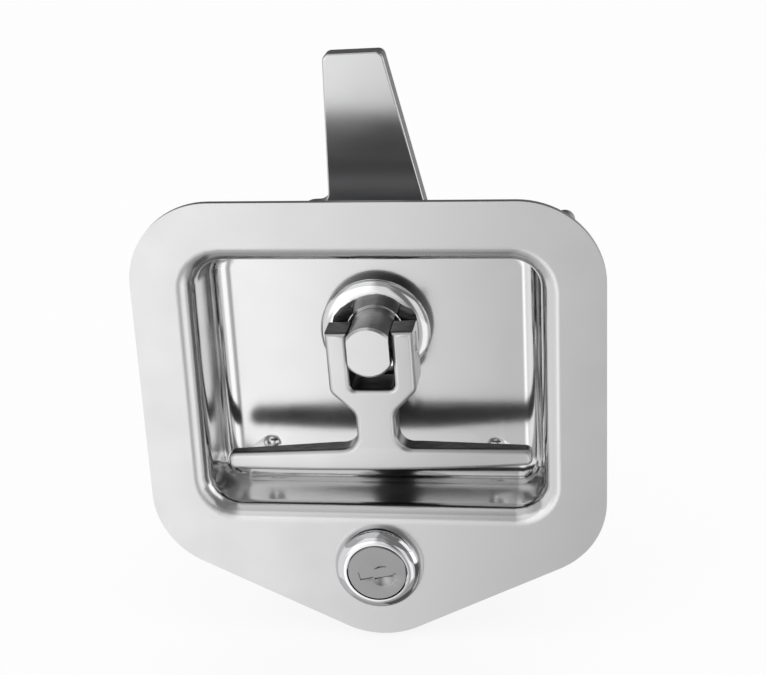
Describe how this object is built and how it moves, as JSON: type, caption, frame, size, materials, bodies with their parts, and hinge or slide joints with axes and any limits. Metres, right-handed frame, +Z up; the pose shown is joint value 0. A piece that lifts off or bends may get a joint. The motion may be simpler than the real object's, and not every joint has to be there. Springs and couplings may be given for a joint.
{
  "type": "t-handle latch",
  "caption": "Flush folding T-handle latch in a stamped stainless pan, with a rear latch arm on a spindle and a key lock that slides a bolt into its notched disc.",
  "frame": {"origin": "middle of the four weld studs, on the back face of the flange", "axes": "+Y back into the panel along the studs, +Z up along the latch arm, +X to the right seen from the front"},
  "size_m": [0.1396, 0.0748, 0.1732],
  "materials": {
    "satin_stainless": "fine satin stainless sheet",
    "cast_stainless": "satin investment casting with polished edges",
    "polished_stainless": "mirror polish",
    "turned_steel": "turned stainless bar",
    "arm_steel": "polished steel plate",
    "zinc_plated": "bright zinc plate",
    "chrome_plate": "bright chrome plate",
    "plug_face": "dull nickel plate",
    "wafer_brass": "stamped brass",
    "black_rubber": "moulded rubber"
  },
  "bodies": {
    "pan": {"pan": "satin_stainless", "weld_studs": "turned_steel", "bearing_collar": "polished_stainless", "backing_plate": "zinc_plated", "plate_rivets": "turned_steel", "spring_washer": "turned_steel", "lock_housing": "chrome_plate", "lock_seal": "black_rubber", "lock_mounting_nut": "zinc_plated"},
    "spindle": {"spindle": "turned_steel", "spindle_o_ring": "black_rubber", "locking_disc": "zinc_plated", "spacer_sleeve": "zinc_plated", "latch_arm": "arm_steel", "arm_washer": "zinc_plated", "arm_nut": "zinc_plated"},
    "handle": {"t_handle": "cast_stainless", "pivot_pin": "turned_steel"},
    "key_plug": {"key_plug": "plug_face", "wafer_tumblers": "wafer_brass", "lock_cam": "zinc_plated", "cam_screw": "zinc_plated", "plug_retaining_clip": "turned_steel"},
    "shutter": {"keyway_shutter": "plug_face"},
    "slide_bolt": {"slide_bolt": "zinc_plated"}
  },
  "joints": [
    {"name": "spindle_turn", "type": "hinge", "parent": "pan", "child": "spindle", "pos_m": [0, 0, 0.0125], "axis": [0, 1, 0], "range_deg": [0, 90]},
    {"name": "handle_fold", "type": "hinge", "parent": "spindle", "child": "handle", "pos_m": [0, 0.00745, 0.0125], "axis": [-0.9996, 0, -0.027], "range_deg": [0, 90]},
    {"name": "key_turn", "type": "hinge", "parent": "pan", "child": "key_plug", "pos_m": [0, 0, -0.0581], "axis": [0, 1, 0], "range_deg": [0, 90]},
    {"name": "bolt_slide", "type": "slide", "parent": "pan", "child": "slide_bolt", "axis": [0, 0, 1], "range_m": [0, 0.00608]},
    {"name": "shutter_tilt", "type": "hinge", "parent": "key_plug", "child": "shutter", "pos_m": [-0.00044, -0.00655, -0.05605], "axis": [0.9774, 0, 0.2113], "range_deg": [0, 75], "stiffness_Nm_per_rad": 0.00002, "springref_deg": -20.05}
  ],
  "couplings": [
    {"joint": "spindle_turn", "follows": "handle_fold", "ratio": 1},
    {"joint": "key_turn", "follows": "bolt_slide", "rad_per_m": 258.31}
  ]
}
